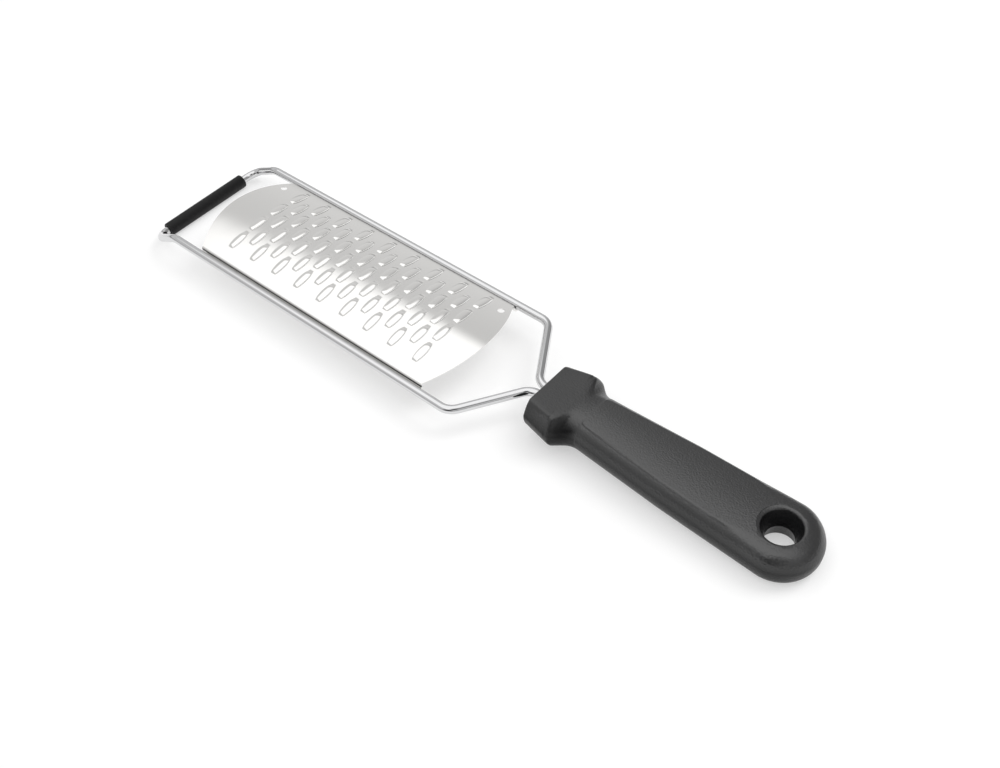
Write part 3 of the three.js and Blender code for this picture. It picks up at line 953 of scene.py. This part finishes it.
def draw_in_crown(vert):
    """Draws the crown of the round end back from the tip, and lets the side follow."""
    spoke = Vector((vert.co.x / MM - HOLE_X, vert.co.y / MM))
    reach = spoke.length
    if vert.co.z <= 0 or spoke.x <= 0 or reach < MIDDLE_REACH:
        return
    crease = height_at(crease_line, HOLE_X)
    short = crease - TIP_INSET * (spoke.x / reach) ** 2
    drawn = reach * short / crease
    if reach > crease:
        drawn = mix(short, END_RADIUS, (reach - crease) / (END_RADIUS - crease))
    vert.co.x = (HOLE_X + spoke.x * drawn / reach) * MM
    vert.co.y = spoke.y * drawn / reach * MM


def soften(bm, zone, passes):
    """Rounds off the upper side in a zone, in mm, along the handle."""
    start, end = zone
    verts = [
        vert for vert in bm.verts
        if start < vert.co.x / MM < end and vert.co.z > SOFTENED_FROM * MM
    ]
    for _ in range(passes):
        bmesh.ops.smooth_vert(
            bm, verts=verts, factor=0.5, use_axis_x=True, use_axis_y=True, use_axis_z=True
        )


print("the tip is softened from", round(TIP_ZONE[0], 2), "mm on")

# %% Sweep the section and spin the end
END_STEPS = 40
FRONT_EDGE = 0.8 * MM


def handle_body():
    bm = bmesh.new()
    line_of = bm.verts.layers.int.new("line")
    count = 2 * (len(half_section(0)) - 1)
    ring = [bm.verts.new(ring_point(0, line)) for line in range(count)]
    for line, vert in enumerate(ring):
        vert[line_of] = line
    front = [bm.edges.new((ring[line - 1], ring[line])) for line in range(count)]
    edges = front
    for x in stations()[1:]:
        swept = bmesh.ops.extrude_edge_only(bm, edges=edges)["geom"]
        for vert in verts_in(swept):
            vert.co = ring_point(x, vert[line_of])
        edges = edges_in(swept)
    far_half = [edge for edge in edges if all(vert[line_of] <= count // 2 for vert in edge.verts)]
    far_half = [edge for edge in far_half if sum(vert.co.y for vert in edge.verts) > 0]
    bmesh.ops.spin(
        bm, geom=far_half, cent=(HOLE_X * MM, 0, 0), axis=(0, 0, -1),
        angle=math.pi, steps=END_STEPS,
    )
    for vert in bm.verts:
        draw_in_crown(vert)
    soften(bm, COLLAR_ZONE, COLLAR_PASSES)
    soften(bm, POCKET_ZONE, POCKET_PASSES)
    soften(bm, TIP_ZONE, TIP_PASSES)
    cap = bmesh.ops.contextual_create(bm, geom=front)["faces"]
    bmesh.ops.remove_doubles(bm, verts=bm.verts, dist=MERGE_DISTANCE)
    bmesh.ops.recalc_face_normals(bm, faces=bm.faces)
    round_edges(bm, cap[0].edges[:], FRONT_EDGE)
    bm.transform(handle_place)
    return bm


handle_bm = handle_body()
print("handle body faces:", len(handle_bm.faces))

# %% [markdown]
# ## The hanging hole and the tang socket
# The hole narrows to its middle from both faces, because the two halves of the mould each carry a
# tapered pin. A spun profile has exactly that shape, with a small flare for the broken edge of the
# rim. The socket in the collar's front is a slot with round sides that holds both tangs. Both are
# cut with a Boolean modifier, since the plastic's dull finish forgives the faces that it leaves.

# %% Cutters for the hole and the socket
# The hole lies a little nearer the collar than the centre of the round end.
HOLE_PLACE = HOLE_X - 0.4
HOLE_RIM = 8
HOLE_WAIST = 5.6
HOLE_UNDER_RIM = 7.1
HOLE_EDGE = 0.6
HOLE_FLARE = 3
HOLE_STEPS = 72
# How far out and up the points of the upper rim's broken edge lie.
RIM_EDGE = ((1.5, 0.35), (0.5, 0), (0.1, -0.35), (-0.1, -0.8))
SOCKET_RADIUS = WIRE_RADIUS + WIRE_CLEARANCE / 3
SOCKET_OVERCUT = 1 * MM


def hole_cutter():
    bm = bmesh.new()
    level = TOP_MM - HOLE_EDGE
    under_level = UNDER_MM - HOLE_EDGE
    outline = [(0, level + HOLE_FLARE), (HOLE_RIM + HOLE_FLARE, level + HOLE_FLARE)]
    outline += [(HOLE_RIM + out, level + up) for out, up in RIM_EDGE]
    outline += [
        (HOLE_WAIST, 0),
        (HOLE_UNDER_RIM, -under_level),
        (HOLE_UNDER_RIM + HOLE_FLARE, -under_level - HOLE_FLARE),
        (0, -under_level - HOLE_FLARE),
    ]
    profile = [bm.verts.new(Vector((HOLE_PLACE + radius, 0, z)) * MM) for radius, z in outline]
    edges = [bm.edges.new(pair) for pair in zip(profile, profile[1:])]
    bmesh.ops.spin(
        bm, geom=edges, cent=(HOLE_PLACE * MM, 0, 0), axis=(0, 0, 1),
        angle=2 * math.pi, steps=HOLE_STEPS, use_merge=True,
    )
    bmesh.ops.remove_doubles(bm, verts=bm.verts, dist=MERGE_DISTANCE)
    return bm


def socket_cutter():
    bm = bmesh.new()
    middle = Matrix.Translation((TANG_DEPTH / 2, 0, 0)) @ Matrix.Rotation(math.pi / 2, 4, "Y")
    bmesh.ops.create_cone(
        bm, cap_ends=True, segments=WIRE_SIDES, radius1=SOCKET_RADIUS, radius2=SOCKET_RADIUS,
        depth=TANG_DEPTH + SOCKET_OVERCUT, matrix=middle,
    )
    for vert in bm.verts:
        vert.co.y += math.copysign(TANG_Y, vert.co.y)
    return bm


print("hanging hole at", round(HOLE_PLACE, 2), "mm from the collar's front")

# %% Carve the handle
def carve(bm, cutter_bm):
    """Takes a cutter, drawn in the handle's own place, out of the handle."""
    cutter_bm.transform(handle_place)
    bmesh.ops.recalc_face_normals(cutter_bm, faces=cutter_bm.faces)
    body = add_mesh("body", bm)
    cutter = add_mesh("cutter", cutter_bm)
    cut = body.modifiers.new("cut", "BOOLEAN")
    cut.operation = "DIFFERENCE"
    cut.solver = "EXACT"
    cut.object = cutter
    carved = bmesh.new()
    carved.from_object(body, bpy.context.evaluated_depsgraph_get())
    for solid in (body, cutter):
        bpy.data.meshes.remove(solid.data)
    print("carved body has", len(carved.faces), "faces")
    return carved


handle_bm = carve(handle_bm, hole_cutter())
handle_bm = carve(handle_bm, socket_cutter())
hand_over(handle_bm, "handle", handle_plastic, edge_angle=28)

# %% [markdown]
# ## The floor
# The grater lies on a white sweep of paper. Paper that is lit plainly renders as a very pale grey,
# so the floor glows a little for the rays that look at it straight or in a mirror, which lifts it
# to white. It gives no light to matte surfaces that way, and it keeps the soft shadows.

# %% Floor of white paper
FLOOR_SIZE = 6
FLOOR_LIFT = 0.48


def white_paper():
    material, tree, shader = new_material(
        "paper_matte_white",
        {"Base Color": linear("#c4c4c4"), "Roughness": 0.9, "Emission Color": linear("#ffffff")},
    )
    path = add_node(tree, "LightPath")
    seen = add_node(
        tree, "Math", operation="ADD",
        inputs={0: path.outputs["Is Camera Ray"], 1: path.outputs["Is Glossy Ray"]},
    )
    looked_at = add_node(
        tree, "Math", operation="ADD", use_clamp=True,
        inputs={0: seen, 1: path.outputs["Is Transmission Ray"]},
    )
    lift = add_node(tree, "Math", operation="MULTIPLY", inputs={0: looked_at, 1: FLOOR_LIFT})
    set_inputs(tree, shader, {"Emission Strength": lift})
    return material


floor_bm = bmesh.new()
bmesh.ops.create_grid(floor_bm, x_segments=1, y_segments=1, size=FLOOR_SIZE / 2)
floor = add_mesh("floor", floor_bm)
floor.data.materials.append(white_paper())
print("floor side in m:", FLOOR_SIZE)

# %% [markdown]
# ## Studio light
# A light tent hangs over the table: bright cloth above, greyer walls lower down, and a dark rim
# where they meet the table. The edge of the cloth draws the border between white and grey on the
# arched blade, so at the back it rises towards the right, where the wall is darker too. The dark
# rim draws thin lines along the wire. Two dark openings, one in front and one where the camera
# stands, show as dark spots on round shapes. The world draws all this by the direction that a ray
# looks in. One large lamp behind the grater, which nothing mirrors, adds the soft shadows.

# %% Walls of the light tent
CLOTH_EDGE = math.sin(math.radians(44))
WALL_TOP_LIGHT = 0.62
WALL_LOW_EDGE = math.sin(math.radians(18))
WALL_LOW_LIGHT = 0.74
TABLE_EDGE = math.sin(math.radians(3))
TABLE_EDGE_LIGHT = 0.3
FRONT_WALL_SHARE = 0.95
FRONT_TO_BACK = {"From Min": -0.4, "From Max": 0.1}
RIGHT_WALL_SHARE = 0.52
RIGHT_WALL_BACK = {"From Min": -0.2, "From Max": 0.3}
LEFT_TO_RIGHT = {"From Min": -0.5, "From Max": -0.15}


def wall_light(tree, axes):
    """The node that gives the light of the walls, from the split direction of a ray."""
    low_wall = add_node(
        tree, "MapRange",
        {
            "Value": axes.outputs["Z"], "From Min": TABLE_EDGE, "From Max": WALL_LOW_EDGE,
            "To Min": TABLE_EDGE_LIGHT, "To Max": WALL_LOW_LIGHT,
        },
    )
    wall_loss = add_node(
        tree, "MapRange",
        {
            "Value": axes.outputs["Z"], "From Min": WALL_LOW_EDGE, "From Max": CLOTH_EDGE,
            "To Min": 0, "To Max": WALL_LOW_LIGHT - WALL_TOP_LIGHT,
        },
    )
    wall = add_node(tree, "Math", operation="SUBTRACT", inputs={0: low_wall, 1: wall_loss})
    front = add_node(
        tree, "MapRange", {"Value": axes.outputs["Y"], **FRONT_TO_BACK, "To Min": FRONT_WALL_SHARE}
    )
    right_share = add_node(
        tree, "MapRange",
        {"Value": axes.outputs["Y"], **RIGHT_WALL_BACK, "To Min": 1, "To Max": RIGHT_WALL_SHARE},
    )
    right = add_node(
        tree, "MapRange",
        {"Value": axes.outputs["X"], **LEFT_TO_RIGHT, "To Min": 1, "To Max": right_share},
    )
    for share in (front, right):
        wall = add_node(tree, "Math", operation="MULTIPLY", inputs={0: wall, 1: share})
    return wall


print("the cloth starts at height", round(CLOTH_EDGE, 3))

# %% Cloth over the walls, and its edge
CLOTH_RISE = 0.2
RISE_RANGE = {"From Min": -0.64, "From Max": -0.23}
RISE_BEND = 2
RISE_BACK = {"From Min": 0.1, "From Max": 0.4}
CLOTH_BLUR = 0.03


def cloth_share(tree, axes):
    """The node that gives 1 where a ray meets the cloth, and 0 where it meets the walls."""
    rise = add_node(tree, "MapRange", {"Value": axes.outputs["X"], **RISE_RANGE})
    bent_rise = add_node(tree, "Math", operation="POWER", inputs={0: rise, 1: RISE_BEND})
    back = add_node(tree, "MapRange", {"Value": axes.outputs["Y"], **RISE_BACK, "To Max": CLOTH_RISE})
    edge = add_node(tree, "Math", operation="MULTIPLY_ADD", inputs={0: bent_rise, 1: back, 2: CLOTH_EDGE})
    above = add_node(tree, "Math", operation="SUBTRACT", inputs={0: axes.outputs["Z"], 1: edge})
    cloth = add_node(
        tree, "MapRange", interpolation_type="SMOOTHSTEP",
        inputs={"Value": above, "From Min": -CLOTH_BLUR, "From Max": CLOTH_BLUR},
    )
    return cloth


print("at the back right the cloth starts at height", round(CLOTH_EDGE + CLOTH_RISE, 3))

# %% World: the tent with its openings
CLOTH_LIGHT = 1.25
OPENING_LIGHT = 0.05
# Each opening has a direction, and the angles in degrees where it is fully dark and where it ends.
OPENINGS = ((Vector((0.25, -0.94, 0.22)), 12, 26), (Vector((0.47, -0.46, 0.75)), 4, 22))


def light_tent():
    world = bpy.data.worlds.new("light_tent")
    world.use_nodes = True
    tree = world.node_tree
    direction = add_node(tree, "TexCoord").outputs["Generated"]
    axes = add_node(tree, "SeparateXYZ", {"Vector": direction})
    light = add_node(
        tree, "Mix", data_type="FLOAT",
        inputs={0: cloth_share(tree, axes), 2: wall_light(tree, axes), 3: CLOTH_LIGHT},
    )
    for middle, inner, outer in OPENINGS:
        towards = add_node(
            tree, "VectorMath", operation="DOT_PRODUCT", inputs={0: direction, 1: middle.normalized()}
        )
        opening = add_node(
            tree, "MapRange", interpolation_type="SMOOTHSTEP",
            inputs={
                "Value": towards.outputs["Value"],
                "From Min": math.cos(math.radians(outer)), "From Max": math.cos(math.radians(inner)),
            },
        )
        light = add_node(tree, "Mix", data_type="FLOAT", inputs={0: opening, 2: light, 3: OPENING_LIGHT})
    background = tree.nodes["Background"]
    set_inputs(tree, background, {"Color": linear("#ffffff"), "Strength": light})
    return world


tent = light_tent()
bpy.context.scene.world = tent
print("world:", tent.name)

# %% Lamp behind the grater
LAMP_DIRECTION = Vector((0.35, 0.55, 0.76)).normalized()
LAMP_DISTANCE = 1.6
LAMP_SIZE = 0.9
LAMP_POWER = 10

lamp_data = bpy.data.lights.new("softbox", "AREA")
lamp_data.shape = "DISK"
lamp_data.size = LAMP_SIZE
lamp_data.energy = LAMP_POWER
lamp = add_object("softbox", lamp_data)
lamp.location = LAMP_DIRECTION * LAMP_DISTANCE
lamp.rotation_mode = "QUATERNION"
lamp.rotation_quaternion = LAMP_DIRECTION.to_track_quat("Z", "Y")
lamp.visible_glossy = False
print("lamp at", [round(value, 2) for value in lamp.location])

# %% [markdown]
# ## Camera
# The picture looks down on the grater from the handle's near side. A camera is placed by where it
# stands, the point that it aims at and how far it is rolled about its own view line. The focal
# length belongs to a sensor 36 mm wide, which spans the picture's width.

# %% Camera at the picture's angle
CAMERA_PLACE = Vector((279.568, -250.198, 389.708)) * MM
CAMERA_AIM = Vector((22.396, -0.225, 0)) * MM
CAMERA_ROLL = math.radians(-6.08)
CAMERA_LENS = 44.17
CAMERA_SENSOR = 36
CAMERA_NEAR = 10 * MM

camera_data = bpy.data.cameras.new("camera")
camera_data.lens = CAMERA_LENS
camera_data.sensor_width = CAMERA_SENSOR
camera_data.sensor_fit = "HORIZONTAL"
camera_data.clip_start = CAMERA_NEAR
camera = add_object("camera", camera_data)
camera.location = CAMERA_PLACE
camera.rotation_mode = "QUATERNION"
aim = (CAMERA_AIM - CAMERA_PLACE).to_track_quat("-Z", "Y")
camera.rotation_quaternion = aim @ Matrix.Rotation(CAMERA_ROLL, 4, "Z").to_quaternion()
bpy.context.scene.camera = camera
bpy.context.scene.view_settings.view_transform = "Standard"
print("camera distance in mm:", round((CAMERA_AIM - CAMERA_PLACE).length / MM))
